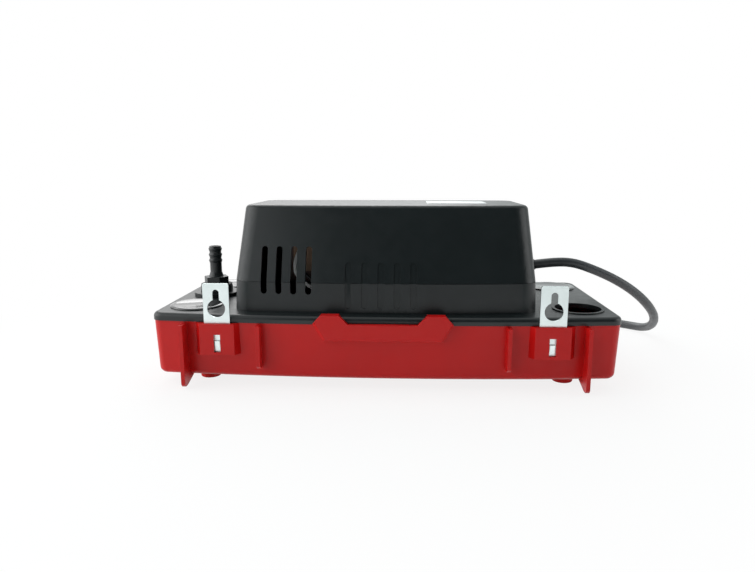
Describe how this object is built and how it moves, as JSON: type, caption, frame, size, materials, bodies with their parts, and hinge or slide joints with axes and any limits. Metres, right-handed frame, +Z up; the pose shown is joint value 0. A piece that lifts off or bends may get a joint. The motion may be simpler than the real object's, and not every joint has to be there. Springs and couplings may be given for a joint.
{
  "type": "condensate pump",
  "caption": "Condensate pump with a low red tank, black deck and motor cover, wall hangers with keyholes, barbed hose outlet, round inlets and a mains cord.",
  "frame": {"origin": "on the floor under the middle of the housing, at the undersides of the feet", "axes": "+Z up, X along the length with the hose outlet at -X and the mains cord at +X, -Y towards the wall that the pump hangs on"},
  "size_m": [0.437, 0.3035, 0.136],
  "materials": {
    "red_plastic": "satin moulded red",
    "black_plastic": "satin moulded black",
    "plug_plastic": "glossy moulded black",
    "label_film": "blank satin film",
    "zinc_sheet": "bright zinc plate",
    "foot_rubber": "matt moulded rubber",
    "seal_rubber": "matt rubber",
    "cord_jacket": "matt dark grey jacket",
    "plated_brass": "bright",
    "lamination_steel": "varnished laminations",
    "rotor_aluminium": "cast",
    "steel_shaft": "ground",
    "bobbin_nylon": "natural nylon",
    "winding_copper": "enamelled copper wire",
    "bush_bronze": "sintered bronze",
    "screw_steel": "zinc-plated",
    "fan_plastic": "moulded black",
    "float_plastic": "hollow white plastic",
    "switch_plastic": "moulded black",
    "lead_white_pvc": "white insulation",
    "lead_black_pvc": "black insulation"
  },
  "bodies": {
    "housing": {"blank_label": "label_film", "bracket_screws": "screw_steel", "coil_bobbin": "bobbin_nylon", "coil_winding": "winding_copper", "cord_coil": "cord_jacket", "cord_tail": "cord_jacket", "cover_screws": "screw_steel", "deck": "black_plastic", "foot_front_left": "foot_rubber", "foot_front_right": "foot_rubber", "foot_rear_left": "foot_rubber", "foot_rear_right": "foot_rubber", "hose_barb": "black_plastic", "inlet_plug_front_left": "plug_plastic", "inlet_plug_front_right": "plug_plastic", "inlet_plug_rear_left": "plug_plastic", "inner_hose": "seal_rubber", "lead_black": "lead_black_pvc", "lead_white": "lead_white_pvc", "lower_bracket": "zinc_sheet", "lower_bush": "bush_bronze", "mains_plug": "cord_jacket", "motor_cover": "black_plastic", "motor_mount_screws": "screw_steel", "plug_blades": "plated_brass", "plug_earth_pin": "plated_brass", "power_cord": "cord_jacket", "rocker_pin": "steel_shaft", "snap_switch": "switch_plastic", "stator_core": "lamination_steel", "stator_screws": "screw_steel", "strain_relief": "cord_jacket", "strainer_plate": "fan_plastic", "switch_bracket": "zinc_sheet", "tank": "red_plastic", "upper_bracket": "zinc_sheet", "upper_bush": "bush_bronze", "valve_washer": "seal_rubber", "volute": "fan_plastic", "volute_screws": "screw_steel"},
    "rotor_assembly": {"rotor": "rotor_aluminium", "motor_shaft": "steel_shaft", "impeller": "fan_plastic", "cooling_fan": "fan_plastic"},
    "float_assembly": {"float": "float_plastic", "float_stem": "float_plastic"},
    "rocker": {"switch_rocker": "switch_plastic"},
    "plunger": {"switch_plunger": "switch_plastic"},
    "valve_ball": {"check_ball": "seal_rubber"},
    "left_hanger": {"hanger_left": "zinc_sheet"},
    "right_hanger": {"hanger_right": "zinc_sheet"}
  },
  "joints": [
    {"name": "motor_spin", "type": "hinge", "parent": "housing", "child": "rotor_assembly", "pos_m": [-0.012, 0, 0.09], "axis": [0, 0, 1], "continuous": true},
    {"name": "float_rise", "type": "slide", "parent": "housing", "child": "float_assembly", "axis": [0, 0, 1], "range_m": [0, 0.008]},
    {"name": "rocker_swing", "type": "hinge", "parent": "housing", "child": "rocker", "pos_m": [0.025, 0, 0.076], "axis": [0, -1, 0], "range_deg": [0, 9.3]},
    {"name": "plunger_press", "type": "slide", "parent": "housing", "child": "plunger", "axis": [0, 0, -1], "range_m": [0, 0.0017]},
    {"name": "check_lift", "type": "slide", "parent": "housing", "child": "valve_ball", "axis": [0, 0, 1], "range_m": [0, 0.003]},
    {"name": "left_hanger_slide", "type": "slide", "parent": "housing", "child": "left_hanger", "axis": [0, 0, 1], "range_m": [0, 0.005]},
    {"name": "right_hanger_slide", "type": "slide", "parent": "housing", "child": "right_hanger", "axis": [0, 0, 1], "range_m": [0, 0.005]}
  ],
  "couplings": [
    {"joint": "rocker_swing", "follows": "float_rise", "rad_per_m": 20},
    {"joint": "plunger_press", "follows": "float_rise", "ratio": 0.2}
  ]
}
